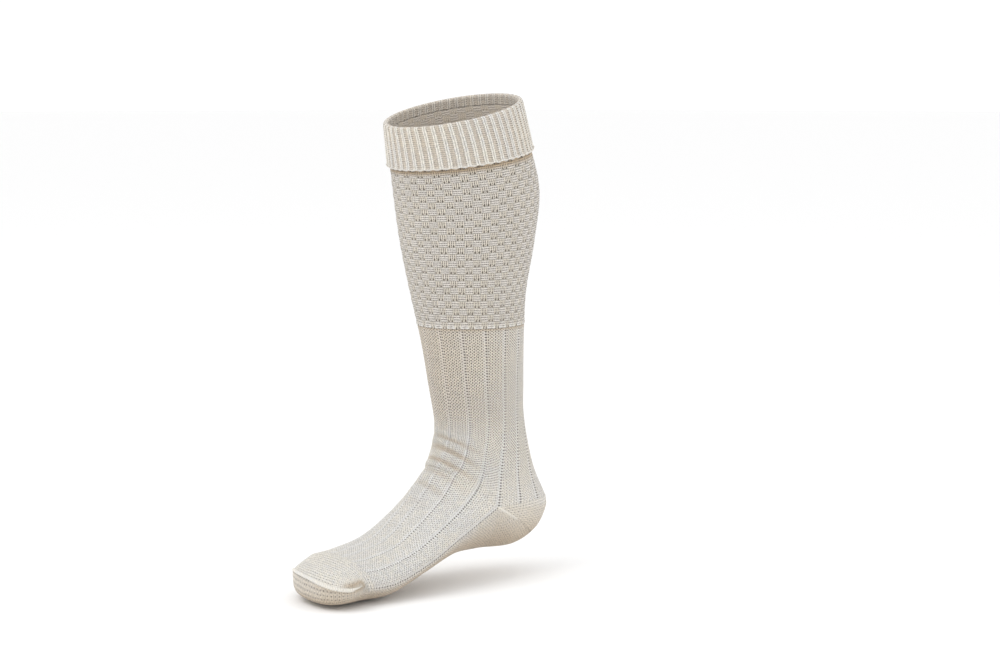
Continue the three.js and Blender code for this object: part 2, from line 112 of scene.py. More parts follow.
class SockSizes(bpy.types.PropertyGroup):
    """Sizes of the worn sock."""

    leg_height: length("Leg height", "Surface under the toes to the middle of the rim", 0.384)
    calf_depth: length("Calf depth", "Calf from front to back", 0.123)
    calf_width: length("Calf width", "Calf from side to side", 0.112)
    ankle_depth: length("Ankle depth", "Ankle from front to back", 0.081)
    ankle_width: length("Ankle width", "Ankle from side to side", 0.059)
    leg_lean: length("Leg lean", "How far the rim lies outward of the ankle", 0.024)
    rim_front_drop: length("Rim front drop", "Fall of the rim at the front", 0.016)
    rim_back_rise: length("Rim back rise", "Rise of the rim at the back", 0.009)
    rim_inner_drop: length("Rim inner drop", "Fall of the rim at the inner side", 0.002)
    foot_length: length("Foot length", "Back of the heel to the tip of the toe", 0.248)
    heel_setback: length("Heel setback", "Back of the heel behind the ankle's middle", 0.0605)
    heel_lift: length("Heel lift", "Underside of the raised heel above the toes' surface", 0.024)
    heel_pocket_height: length("Heel pocket height", "Underside of the heel to the gore course", 0.038)
    instep_height: length("Instep height", "Top of the instep above the toes' surface", 0.095)
    toe_height: length("Toe height", "Height of the toe", 0.035)
    ball_width: length("Ball width", "Width of the foot at its ball", 0.088)
    wall: length("Wall", "Thickness of the knitted wall", 0.0022)
    cuff_drop: length("Cuff drop", "Rim to the hem of the turned-over cuff", 0.040)
    cuff_lip: length("Cuff lip", "Depth of the doubled fold at the top of the cuff", 0.008)
    hem_bead: length("Hem bead", "How far the hem's edge stands out", 0.0007)
    panel_length: length("Panel length", "Rim to the lower border of the calf panel", 0.178)
    toe_length: length("Toe length", "Last ribbed course to the tip of the toe", 0.041)
    seam_width: length("Seam width", "Width of the toe seam", 0.003)
    seam_height: length("Seam height", "How far the toe seam stands out", 0.0016)
    fold_depth: length("Fold depth", "Height of the ankle's folds", 0.0019)
    fold_width: length("Fold width", "Half height of an ankle fold along the leg", 0.0042)
    seam_bank: length("Seam bank", "How far the seam's outer end would lie above its inner end", 0.008)
    cuff_lean: length("Cuff lean", "How far the cuff's ribs lean forward from the hem to the rim", 0.003)
    leg_turn: degrees("Leg turn", "Turn of the ribs above the ankle's folds", 5)
    rib_bend: degrees("Rib bend", "How far the ribs cut their corner at the gore course", 11)
    rib_bend_reach: length("Rib bend reach", "Distance over which the ribs cut their corner", 0.014)
    gap: length("Gap", "Gap between two pieces of knitting", 0.0001)
    clearance: length("Clearance", "Gap under the cuff and the toe seam", 0.0003)


class KnitSizes(bpy.types.PropertyGroup):
    """Counts and depths of the knitting."""

    wales: count("Wales", "Stitches round the leg and the foot", 84)
    ribs: count("Ribs", "Wide ribs round the leg", 14)
    panel_wales: count("Panel wales", "Stitches round the calf panel", 100)
    cuff_ribs: count("Cuff ribs", "Narrow ribs round the cuff", 50)
    block_wales: count("Block wales", "Stitches across one block of the calf panel", 2)
    block_courses: count("Block courses", "Courses in one block of the calf panel", 3)
    columns_per_wale: count("Columns for each wale", "Fineness of the mesh across a stitch", 6)
    course: length("Course", "Height of one course of the calf panel", 0.0019)
    leg_course: length("Leg course", "Height of one course below the calf panel", 0.0023)
    cuff_course: length("Cuff course", "Height of one course of the cuff", 0.00175)
    rib_furrow: length("Rib furrow", "Depth of a purl furrow between wide ribs", 0.0005)
    cuff_rib: length("Cuff rib", "Height of the cuff's knit wales over its purl", 0.0008)
    block_rise: length("Block rise", "Height of a purl block over a knit block", 0.0006)
    wale_rise: length("Wale rise", "Height of one knit wale", 0.0003)
    yarn: length("Yarn", "Depth of a stitch in the bump", 0.0006)
    # Below these levels the yarn also takes a cooler tone, painted light from above on the foot.
    foot_levels: FloatVectorProperty(
        name="Foot levels",
        description="Levels between which the stretched foot's fine stitches turn into the leg's open ones",
        default=(-0.325, -0.265),
        size=2,
        subtype="XYZ",
        unit="LENGTH",
    )
    speckle: FloatProperty(
        name="Speckle", description="Darkness of the specks between fibres", default=0.26, min=0.0, max=1.0
    )


class WoolColours(bpy.types.PropertyGroup):
    """Colours of the undyed wool, and of the shade painted on it."""

    yarn: colour("Yarn", "Lit yarn", (0.83, 0.79, 0.71))
    grey: colour("Grey yarn", "Cooler flecks in the yarn", (0.77, 0.76, 0.745))
    # The next two colours are painted shade: the first in the gaps between stitches, the second in folds,
    # under hems and borders, in purl furrows, inside the sock, over the leg and panel, and under the foot.
    hollow_shade: colour("Hollow", "Yarn deep between two stitches", (0.125, 0.11, 0.09))
    shade: colour("Shade", "Yarn in a fold or under a hem", (0.54, 0.42, 0.29))


class StageSizes(bpy.types.PropertyGroup):
    """Camera, floor and lights."""

    azimuth: degrees("Azimuth", "Camera's turn round the sock", 52.245)
    elevation: degrees("Elevation", "Camera's height above level", 6.792)
    distance: length("Distance", "Camera to the point it looks at", 2.0)
    lens: FloatProperty(name="Lens", description="Focal length in millimetres", default=87.68)
    target: FloatVectorProperty(
        name="Target",
        description="Point that the camera looks at",
        default=(0.0299, 0.0256, -0.1823),
        subtype="XYZ",
        size=3,
    )
    floor: length("Floor", "Level of the floor", cad_box[0].z - 0.0003)
    floor_radius: length("Floor radius", "Radius of the floor", 14.0)
    floor_colour: colour("Floor colour", "Plain pale floor", (0.93, 0.93, 0.93))
    sky: FloatProperty(name="Sky", description="Strength of the soft light all round", default=1.06)
    key: power("Key", "Power of the soft light from the front", 15.0)
    fill: power("Fill", "Power of the soft light on the inner side", 5.0)
    light_size: length("Light size", "Side of each soft light", 1.4)


def sizes():
    return bpy.context.scene.sock_sizes


def knit():
    return bpy.context.scene.sock_knit


# Leg sections from the rim down to the gore course, as shares: height, calf over ankle in depth and width,
# shift of the middle along Y, lean outward and tilt of the rim's slope
LEG_COLUMNS = ("at", "deep", "wide", "shift", "lean", "tilt")
LEG_SECTIONS = (
    (1.0, 0.72, 0.86, -0.05, 1.0, 1.0),
    (0.9, 0.86, 0.93, -0.008, 0.93, 0.75),
    (0.78, 1.0, 1.0, 0.04, 0.83, 0.4),
    (0.655, 0.77, 0.84, 0.023, 0.675, 0.15),
    (0.527, 0.39, 0.59, 0.0, 0.49, 0.0),
    (0.406, 0.18, 0.33, 0.01, 0.31, 0.0),
    (0.297, 0.07, 0.14, 0.016, 0.156, 0.0),
    (0.206, 0.0, 0.0, 0.02, 0.0, 0.0),
)

# Foot sections from the gore course to the toe's gore, as shares of the foot's sizes
FOOT_COLUMNS = ("top", "rise", "sole", "lift", "wide", "aside", "square")
FOOT_SECTIONS = (
    (0.455, 1.0, 0.292, 1.0, 0.23, 0.108, 2.1),
    (0.548, 0.6, 0.448, 1.0, 0.42, 0.14, 2.2),
    (0.66, 0.16, 0.588, 0.6, 0.83, 0.106, 2.4),
    (0.768, 0.03, 0.72, 0.06, 1.0, 0.096, 2.4),
    (0.852, 0.0, 0.828, 0.02, 0.86, 0.11, 2.4),
)
SIDE_LINE = 0.42
GORE_ALONG = 0.288

# The turn of the ankle above the gore course: places along the foot and rises up the leg, as shares
ANKLE_TURN = dict(
    at=0.09, front=0.424, front_rise=0.163, side=0.276, side_rise=0.088, back=0.053, back_rise=0.082,
    wide=0.11, aside=0.089,
)

# Outline of the heel pocket, and of the toe over and under the foot
HEEL_COLUMNS = ("along", "level")
HEEL_OUTLINE = ((0.005, 1.0), (0.004, 0.72), (0.05, 0.27), (0.15, -0.02), (0.292, 0.0))
TOE_COLUMNS = ("along", "level", "aside", "bank")
TOE_TOP = ((0.852, 1.0, 0.0, 0.0), (0.933, 0.86, 0.12, 0.3), (0.991, 0.66, 0.19, 1.0))
TOE_SOLE = (
    (0.828, 0.02, 0.0, 0.0),
    (0.885, 0.03, 0.04, 0.1),
    (0.966, 0.16, 0.13, 0.4),
    (0.991, 0.66, 0.19, 1.0),
)

# The line of the toe seam from its outer end: degrees from the front, and place on the toe's upper half
SEAM_COLUMNS = ("at", "angle", "share")
SEAM_LINE = ((0.0, -40, 0.93), (0.42, 0, 0.94), (0.78, 56, 0.99), (0.9, 70, 0.92), (1.0, 77, 0.62))

# Soft folds over the front of the ankle: height and slope as shares of the leg below the calf panel,
# middle and reach in degrees from the front, depth and breadth as shares of the fold's sizes
FOLD_COLUMNS = ("at", "angle", "reach", "slope", "depth", "narrow")
ANKLE_FOLDS = (
    (0.345, 15, 60, -0.08, 0.5, 1.2),
    (0.21, 20, 65, -0.04, 1.0, 1.1),
    (0.105, 20, 60, 0.0, 0.9, 1.0),
    (0.025, 5, 70, -0.02, 0.9, 0.9),
    (-0.05, 15, 55, -0.03, 0.7, 0.9),
    (-0.115, 5, 50, -0.03, 0.4, 1.0),
)


def mix(low, high, share):
    return low + (high - low) * share


def smooth(value, low, high):
    """0 below low and 1 above high, with a smooth step between."""
    share = np.clip((value - low) / (high - low), 0.0, 1.0)
    return share * share * (3.0 - 2.0 * share)


def bell(distance, width):
    """1 at no distance, falling off smoothly over a width."""
    return np.exp(-((distance / width) ** 2))


def columns_of(names, rows):
    """A table's columns by name."""
    return {name: np.array([row[index] for row in rows], dtype=float) for index, name in enumerate(names)}


def read_table(table, key, at):
    """A smooth curve through the rows of a table, read at values of its key column."""
    keys = table[key]
    way = 1.0 if keys[-1] > keys[0] else -1.0
    last = len(keys) - 1
    low = np.clip(np.searchsorted(keys * way, at * way, side="left") - 1, 0, last - 1)
    before = np.maximum(low - 1, 0)
    after = low + 1
    beyond = np.minimum(low + 2, last)
    span = keys[after] - keys[low]
    share = (at - keys[low]) / span
    result = {}
    for name, values in table.items():
        start = (values[after] - values[before]) / (keys[after] - keys[before]) * span
        end = (values[beyond] - values[low]) / (keys[beyond] - keys[low]) * span
        rise = values[after] - values[low]
        bend = 3.0 * rise - 2.0 * start - end
        twist = start + end - 2.0 * rise
        result[name] = values[low] + share * (start + share * (bend + share * twist))
    return result


class Form:
    """The sock's smooth surface, from its sizes. Angles turn from the front towards the inner side."""

    def __init__(self, size):
        self.size = size
        self.gore_height = size.heel_lift + size.heel_pocket_height
        self.leg_rise = size.leg_height - self.gore_height
        self.fold_zone = (size.leg_height - size.panel_length - self.gore_height) / self.leg_rise
        foot = [self.foot_row(*row) for row in FOOT_SECTIONS]
        foot[0].update(side_y=self.along(GORE_ALONG), side_z=self.gore_height)
        gore = dict(foot[0], back_y=self.along(HEEL_OUTLINE[0][0]), back_z=self.gore_height)
        turn = ANKLE_TURN
        ankle = dict(
            gore,
            front_y=self.along(turn["front"]),
            front_z=self.gore_height + turn["front_rise"] * self.leg_rise,
            side_y=self.along(turn["side"]),
            side_z=self.gore_height + turn["side_rise"] * self.leg_rise,
            back_y=self.along(turn["back"]),
            back_z=self.gore_height + turn["back_rise"] * self.leg_rise,
            middle=turn["aside"] * size.ball_width,
            half=mix(size.ankle_width, size.ball_width, turn["wide"]) / 2,
            square=2.0,
        )
        leg = [self.leg_row(*row) for row in LEG_SECTIONS] + [dict(ankle, at=turn["at"]), dict(gore, at=0.0)]
        self.leg_table = self.stack(leg)
        self.foot_table = self.stack([dict(row, at=float(index)) for index, row in enumerate(foot)])
        self.gore = gore
        self.toe_gore = foot[-1]
        self.instep_run = (self.along(FOOT_SECTIONS[0][0]) - self.along(FOOT_SECTIONS[1][0])) / self.leg_rise
        rim = leg[0]
        self.origin = np.array(
            [rim["middle"], (rim["front_y"] + rim["back_y"]) / 2, (rim["front_z"] + rim["back_z"]) / 2]
        )

    @staticmethod
    def stack(rows):
        return {name: np.array([row[name] for row in rows], dtype=float) for name in rows[0]}

    def along(self, share):
        return self.size.heel_setback - share * self.size.foot_length

    def leg_row(self, at, deep, wide, shift, lean, tilt):
        size = self.size
        height = self.gore_height + at * self.leg_rise
        depth = mix(size.ankle_depth, size.calf_depth, deep)
        middle = shift * size.calf_depth
        return dict(
            at=at,
            front_y=middle - depth / 2,
            front_z=height - tilt * size.rim_front_drop,
            side_y=middle,
            side_z=height - tilt * (size.rim_front_drop - size.rim_back_rise) / 2,
            back_y=middle + depth / 2,
            back_z=height + tilt * size.rim_back_rise,
            middle=-lean * size.leg_lean,
            half=mix(size.ankle_width, size.calf_width, wide) / 2,
            square=2.0,
            lead=0.0,
            bank=0.0,
            slope=-tilt * size.rim_inner_drop * 2 / size.calf_width,
        )

    def foot_row(self, top, rise, sole, lift, wide, aside, square):
        size = self.size
        under = lift * size.heel_lift
        over = mix(size.toe_height, size.instep_height, rise)
        return dict(
            front_y=self.along(top),
            front_z=over,
            side_y=self.along(sole),
            side_z=mix(under, over, SIDE_LINE),
            back_y=self.along(sole),
            back_z=under,
            middle=aside * size.ball_width,
            half=mix(size.ankle_width, size.ball_width, wide) / 2,
            square=square,
            lead=0.0,
            bank=0.0,
            slope=0.0,
        )

    def ring(self, row, angle):
        """Points of rings at angles from the front."""
        cosine = np.cos(angle)
        sine = np.sin(angle)
        power = 2.0 / np.asarray(row["square"])
        reach = np.sign(cosine) * np.abs(cosine) ** power
        reach = np.where(np.abs(cosine) < 1e-9, 0.0, reach)
        spread = np.sign(sine) * np.abs(sine) ** power
        across = row["half"] * spread
        front = cosine > 0
        forward = np.where(front, row["front_y"] - row["side_y"], row["side_y"] - row["back_y"])
        upward = np.where(front, row["front_z"] - row["side_z"], row["side_z"] - row["back_z"])
        x = row["middle"] + across + row["lead"] * np.abs(reach)
        y = row["side_y"] + forward * reach
        bank = row["bank"] * across * np.abs(reach) / (row["half"] * 2)
        z = row["side_z"] + upward * reach + row["slope"] * across - bank
        return np.stack(np.broadcast_arrays(x, y, z), axis=-1) - self.origin

    def leg(self, at, angle):
        return self.ring(read_table(self.leg_table, "at", at), angle)

    def foot(self, at, angle):
        return self.ring(read_table(self.foot_table, "at", at), angle)

    def heel(self, share, angle):
        outline = columns_of(HEEL_COLUMNS, HEEL_OUTLINE)
        outline["place"] = np.linspace(0.0, 1.0, len(HEEL_OUTLINE))
        read = read_table(outline, "place", share)
        back_z = mix(self.size.heel_lift, self.gore_height, read["level"])
        return self.ring(dict(self.gore, back_y=self.along(read["along"]), back_z=back_z), angle)

    def toe(self, share, angle):
        """Upper fan at the front half of the angles and lower fan at the other."""
        tables = []
        for rows, ends in ((TOE_TOP, ("front_y", "front_z")), (TOE_SOLE, ("back_y", "back_z"))):
            outline = columns_of(TOE_COLUMNS, rows)
            outline["place"] = np.linspace(0.0, 1.0, len(rows))
            read = read_table(outline, "place", share)
            row = dict(self.toe_gore, lead=read["aside"] * self.size.ball_width)
            row["bank"] = read["bank"] * self.size.seam_bank
            row[ends[0]] = self.along(read["along"])
            row[ends[1]] = read["level"] * self.size.toe_height
            tables.append(self.ring(row, angle))
        upper = (np.cos(angle) > 0)[..., None]
        return np.where(np.broadcast_to(upper, tables[0].shape), tables[0], tables[1])

    def seam(self, steps):
        """The toe seam's line from its outer end: points, angles and shares of the toe."""
        line = read_table(columns_of(SEAM_COLUMNS, SEAM_LINE), "at", np.linspace(0.0, 1.0, steps + 1))
        angle = np.radians(line["angle"])
        share = np.minimum(line["share"], 1.0)
        return self.toe(share, angle), angle, share

    def beside_seam(self, angle, share, above):
        """Points of the toe beside the seam's line, at a share of the toe above or below it."""
        from_edge = 1.0 - share + above
        on_top = (from_edge >= 0.0)[:, None]
        return np.where(on_top, self.toe(1.0 - from_edge, angle), self.toe(1.0 + from_edge, math.pi - angle))

    def turn(self, at):
        """Turn of the ribs at a place on the leg: none at the gore course and whole above the folds."""
        return self.size.leg_turn * np.clip(at / (self.fold_zone * ANKLE_FOLDS[0][0]), 0.0, 1.0)

    def rounded(self, distance, angle):
        """Angles of the ribs at a distance from the gore course, where they bend from leg to foot."""
        shift = self.size.rib_bend * np.exp(-distance / self.size.rib_bend_reach) * np.sin(2.0 * angle)
        return angle - np.where(np.cos(angle) > 0, shift, 0.0)

    def at_drop(self, drop):
        return 1.0 - drop / self.leg_rise

    def toe_start(self):
        """Place in the foot's table where its top line reaches the toe."""
        last = len(FOOT_SECTIONS) - 1
        at = np.linspace(last - 1.0, last, SAMPLES)
        gone = self.size.heel_setback - read_table(self.foot_table, "at", at)["front_y"]
        return float(np.interp(self.size.foot_length - self.size.toe_length, gone, at))

    def fold(self, at, angle):
        """Height of the ankle's folds."""
        total = np.zeros(np.broadcast(at, angle).shape)
        for place, middle, reach, slope, depth, narrow in ANKLE_FOLDS:
            turn = angle - math.radians(middle)
            share = np.clip(turn / math.radians(reach), -1.0, 1.0)
            level = self.fold_zone * (place + slope * turn / (math.pi / 2))
            rise = bell((at - level) * self.leg_rise, narrow * self.size.fold_width)
            total += depth * self.size.fold_depth * rise * np.cos(share * math.pi / 2) ** 2
        return total

    def outward(self, surface, at, angle):
        """Outward direction of a surface, from small steps about a point."""
        step = 1e-3
        down = surface(at - step, angle) - surface(at + step, angle)
        around = surface(at, angle + step) - surface(at, angle - step)
        return unit(np.cross(down, around))


def unit(vectors):
    return vectors / np.maximum(np.linalg.norm(vectors, axis=-1, keepdims=True), 1e-12)


def run_along(points):
    """Distance gone along the first axis of a net of points."""
    steps = np.linalg.norm(np.diff(points, axis=0), axis=-1)
    return np.concatenate([np.zeros_like(steps[:1]), np.cumsum(steps, axis=0)])


def even_places(surface, start, end, rows):
    """Places along a surface from start to end that lie evenly along its mean line."""
    at = np.linspace(start, end, SAMPLES)
    angle = np.linspace(-math.pi, math.pi, 24, endpoint=False)
    gone = run_along(surface(at[:, None], angle[None, :])).mean(axis=1)
    return np.interp(np.linspace(0.0, gone[-1], rows + 1), gone, at), gone[-1]


def even_angles(surface, places, shares):
    """Angles at shares of a turn, spread evenly along the arc of each half of a ring.

    A share of 0 is the outer side, 0.5 the inner side and 1 the outer side again, past the front first.
    """
    close = 1e-9
    halves = []
    for start, low in ((-math.pi / 2, 0.0), (math.pi / 2, 0.5)):
        fine = start + math.pi * np.linspace(0.0, 1.0, 97)
        gone = run_along(surface(places[None, :], fine[:, None])).T
        part = shares[(shares >= low - close) & (shares <= low + 0.5 + close)]
        part = part[1:] if halves and part[0] <= low + close else part
        wanted = (part - low) * 2.0
        halves.append(np.array([np.interp(wanted * line[-1], line, fine) for line in gone]))
    return np.concatenate(halves, axis=1)


def wale_columns(first, last, per_wale=None):
    """Places of the mesh's columns, in wales."""
    return np.linspace(first, last, (last - first) * (per_wale or knit().columns_per_wale) + 1)


def row_at(surface, place, angles):
    """One row of a surface."""
    return surface(np.array([[place]]), angles)


def outward_of(points, closes):
    """Outward directions of a net's inner rows. Where a fan has closed to a point they face sideways."""
    no_size = 1e-11
    down = points[2:] - points[:-2]
    middle = points[1:-1]
    around = np.gradient(middle, axis=1)
    if closes:
        around[:, [0, -1]] = (middle[:, 1:2] - middle[:, -2:-1]) / 2.0
    normal = np.cross(down, around)
    size = np.linalg.norm(normal, axis=2, keepdims=True)
    sideways = np.zeros_like(normal)
    sideways[..., 0] = np.sign(middle[..., 0] - middle[..., 0].mean())
    return np.where(size > no_size, normal / np.maximum(size, no_size), sideways)


def bordered(before, rows, after, closes=True, borders=(0, -1)):
    """Points and outward directions of rows of knitting, drawn in from its borders by half the gap.

    before and after are rows just past the first and the last row.
    """
    net = np.concatenate([before, rows, after])
    points = rows.copy()
    for row in borders:
        step = points[1 if row == 0 else -2] - points[row]
        room = np.linalg.norm(step, axis=-1, keepdims=True)
        points[row] += unit(step) * np.minimum(sizes().gap, room) / 2
    return points, outward_of(net, closes)


def knit_wall(name, points, normals, wales, courses, relief, marks, fold=0.0, cut_row=None):
    """A wall of knitting: a net round its whole section, down its outer face and back up its inner one."""
    relief, fold, course = np.broadcast_arrays(relief, fold, courses + 0.0 * wales)
    outer = points + normals * (relief + fold)[..., None]
    back = list(range(len(points) - 1, 0, -INNER_EVERY)) + [0]
    inner = points[back] + normals[back] * (fold[back] - sizes().wall)[..., None]
    place = np.concatenate([outer, inner, outer[:1]])
    within = np.concatenate([np.full(inner.shape[:2] + (2,), INNER_MARKS), marks[back][..., 2:]], axis=-1)
    marks = np.concatenate([marks, within, marks[:1]])
    course = np.concatenate([course, course[back], course[:1]])
    stitch = np.stack(np.broadcast_arrays(wales, course), axis=-1)
    return knitted_piece(name, place, stitch, marks, cut_row)


def knitted_piece(name, place, stitch, marks, cut_row=None):
    """A flat grid added at its count of stitches, then wrapped on to the sock and closed."""
    rows = place.shape[0] - 1
    columns = place.shape[1] - 1
    bpy.ops.object.select_all(action="DESELECT")
    bpy.ops.mesh.primitive_grid_add(x_subdivisions=columns, y_subdivisions=rows, size=2.0, calc_uvs=True)
    piece = bpy.context.object
    piece.name = name
    mesh = piece.data
    mesh.name = name
    flat = np.empty(len(mesh.vertices) * 3)
    mesh.vertices.foreach_get("co", flat)
    flat = flat.reshape(-1, 3)
    column = np.rint((flat[:, 0] + 1.0) / 2.0 * columns).astype(int)
    row = rows - np.rint((flat[:, 1] + 1.0) / 2.0 * rows).astype(int)
    mesh.vertices.foreach_set("co", place[row, column].ravel())
    corners = np.empty(len(mesh.loops), dtype=np.int32)
    mesh.loops.foreach_get("vertex_index", corners)
    mesh.uv_layers.active.data.foreach_set("uv", stitch[row, column][corners].ravel())
    marked = mesh.attributes.new("marks", "FLOAT_VECTOR", "POINT")
    marked.data.foreach_set("vector", marks[row, column].ravel())
    mesh.update()
    if cut_row is not None:
        first_rows = [min(row[index] for index in face.vertices) for face in mesh.polygons]
        delete_faces(mesh, [bool(first == cut_row) for first in first_rows])
    bpy.ops.object.mode_set(mode="EDIT")
    bpy.ops.mesh.select_mode(type="VERT")
    bpy.ops.mesh.select_all(action="SELECT")
    bpy.ops.mesh.remove_doubles(threshold=SAME_POINT)
    bpy.ops.object.mode_set(mode="OBJECT")
    bpy.ops.object.shade_smooth_by_angle(angle=SHARP_EDGE)
    return piece


def delete_faces(mesh, chosen):
    """Deletes the faces of the active piece that a list chooses."""
    bpy.ops.object.mode_set(mode="EDIT")
    bpy.ops.mesh.select_mode(type="FACE")
    bpy.ops.mesh.select_all(action="DESELECT")
    bpy.ops.object.mode_set(mode="OBJECT")
    mesh.polygons.foreach_set("select", chosen)
    bpy.ops.object.mode_set(mode="EDIT")
    bpy.ops.mesh.delete(type="FACE")
    bpy.ops.object.mode_set(mode="OBJECT")


def finished(piece, node, material):
    piece.data.materials.clear()
    piece.data.materials.append(material)
    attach(piece, BODY)
    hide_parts(node)
    return piece


def wale_relief(wale):
    """One low ridge for each knit wale. Whole numbers are the middles of wales."""
    return knit().wale_rise * (np.cos(math.pi * wale) ** 2 - 0.5)


def from_furrow(wale):
    """Distance in wales from the middle of the nearest purl furrow between wide ribs."""
    period = knit().wales / knit().ribs
    return np.abs((wale + period / 2) % period - period / 2)


def rib_relief(wale):
    furrow = 1.0 - smooth(from_furrow(wale), 0.25, 0.75)
    return -knit().rib_furrow * furrow + wale_relief(wale) * (1.0 - furrow)


def fold_shade(relief):
    """Painted shade of folds, from how far they lie below their surroundings: 1 in a trough and -1 on a
    ridge.
    """
    passes = 30
    full = 0.0005
    blurred = relief.copy()
    for _ in range(passes):
        padded = np.pad(blurred, ((1, 1), (0, 0)), mode="edge")
        blurred = (padded[:-2] + padded[1:-1] + padded[2:]) / 3.0
    return FOLD_SHADE * np.clip((blurred - relief) / full, -1.0, 1.0)


def marks_of(shade, bare=0.0, ribbed=0.0):
    """What a piece's points tell its wool: how much painted shade it gets, how bare of stitches and how
    ribbed it is there.
    """
    return np.stack(np.broadcast_arrays(shade, bare, ribbed), axis=-1).astype(float)


def under_shade(normals):
    """Painted shade, with a warm painted bounce light from the floor, where the knitting faces the floor."""
    return UNDER_SHADE * smooth(-unit(normals)[..., 2], -0.35, 0.85)


# Materials


class Thread:
    """A value in a material, held as a node's socket. Sums of threads add Math nodes."""

    def __init__(self, tree, socket=None):
        self.tree = tree
        self.socket = socket

    def node(self, kind, settings=None, inputs=None, output=0):
        made = self.tree.nodes.new(kind)
        for name, value in (settings or {}).items():
            setattr(made, name, value)
        for name, value in (inputs or {}).items():
            if isinstance(value, Thread):
                self.tree.links.new(value.socket, made.inputs[name])
            else:
                made.inputs[name].default_value = value
        return Thread(self.tree, made.outputs[output] if made.outputs else None)

    def other(self, output):
        """Another output of the same node."""
        return Thread(self.tree, self.socket.node.outputs[output])

    def split(self):
        """The parts of a vector, as outputs X, Y and Z."""
        return self.node("ShaderNodeSeparateXYZ", inputs={"Vector": self})

    def maths(self, operation, *values):
        return self.node("ShaderNodeMath", {"operation": operation}, dict(enumerate(values)))

    def __add__(self, value):
        return self.maths("ADD", self, value)

    def __radd__(self, value):
        return self.maths("ADD", value, self)

    def __sub__(self, value):
        return self.maths("SUBTRACT", self, value)

    def __rsub__(self, value):
        return self.maths("SUBTRACT", value, self)

    def __mul__(self, value):
        return self.maths("MULTIPLY", self, value)

    def __rmul__(self, value):
        return self.maths("MULTIPLY", value, self)

    def __truediv__(self, value):
        return self.maths("DIVIDE", self, value)

    def __pow__(self, value):
        return self.maths("POWER", self, value)

    def __abs__(self):
        return self.maths("ABSOLUTE", self)

    def fraction(self):
        return self.maths("FRACT", self)

    def floor(self):
        return self.maths("FLOOR", self)

    def sine(self):
        return self.maths("SINE", self)

    def cosine(self):
        return self.maths("COSINE", self)

    def clamped(self):
        return self.node("ShaderNodeClamp", inputs={"Value": self})

    def step(self, low, high):
        """0 below low and 1 above high, with a smooth step between."""
        settings = {"interpolation_type": "SMOOTHSTEP"}
        return self.node("ShaderNodeMapRange", settings, {"Value": self, "From Min": low, "From Max": high})

    def blend(self, low, high):
        """low where this is 0 and high where it is 1."""
        return low + (high - low) * self


COURSE_SHARE = 0.7  # height of a course in widths of a wale
MIX_COLOURS = {"data_type": "RGBA"}
MIX_LOW = 6
MIX_HIGH = 7
MIX_RESULT = 2


def paint(share, low, high):
    """A colour between two, by a share."""
    inputs = {0: share, MIX_LOW: opaque(low), MIX_HIGH: opaque(high)}
    return share.node("ShaderNodeMix", MIX_COLOURS, inputs, MIX_RESULT)


def opaque(value):
    return value if isinstance(value, Thread) else (*value, 1.0)


def from_line(value):
    """Distance to the nearest whole number."""
    return abs((value + 0.5).fraction() - 0.5)


def knit_stitch(wale, course):
    """Height of plain knitting: each wale is a column of Vs, and its middle is a whole number."""
    side = from_line(wale) * 2.0
    leg = ((course + side * 0.6).fraction() * math.pi).sine() ** 0.7
    return (1.0 - side**6.0 * 0.8 - (1.0 - side) ** 4.0 * 0.5) * (0.4 + leg * 0.6)


def purl_stitch(wale, course):
    """Height of purl knitting: rows of short arcs."""
    wave = (wale * (2.0 * math.pi)).cosine() * 0.16
    return ((course + wave).fraction() * math.pi).sine() ** 0.8


def hole_shade_at(across, along, radius):
    """Painted shade of a small stitch gap at a distance across in wales and along in courses."""
    along = along * COURSE_SHARE
    return 1.0 - (across * across + along * along).step(radius * radius * 0.15, radius * radius)


def noise(place, scale, detail=2.0):
    """Soft clouds over the sock, so many to a metre."""
    return place.node("ShaderNodeTexNoise", inputs={"Vector": place, "Scale": scale, "Detail": detail})


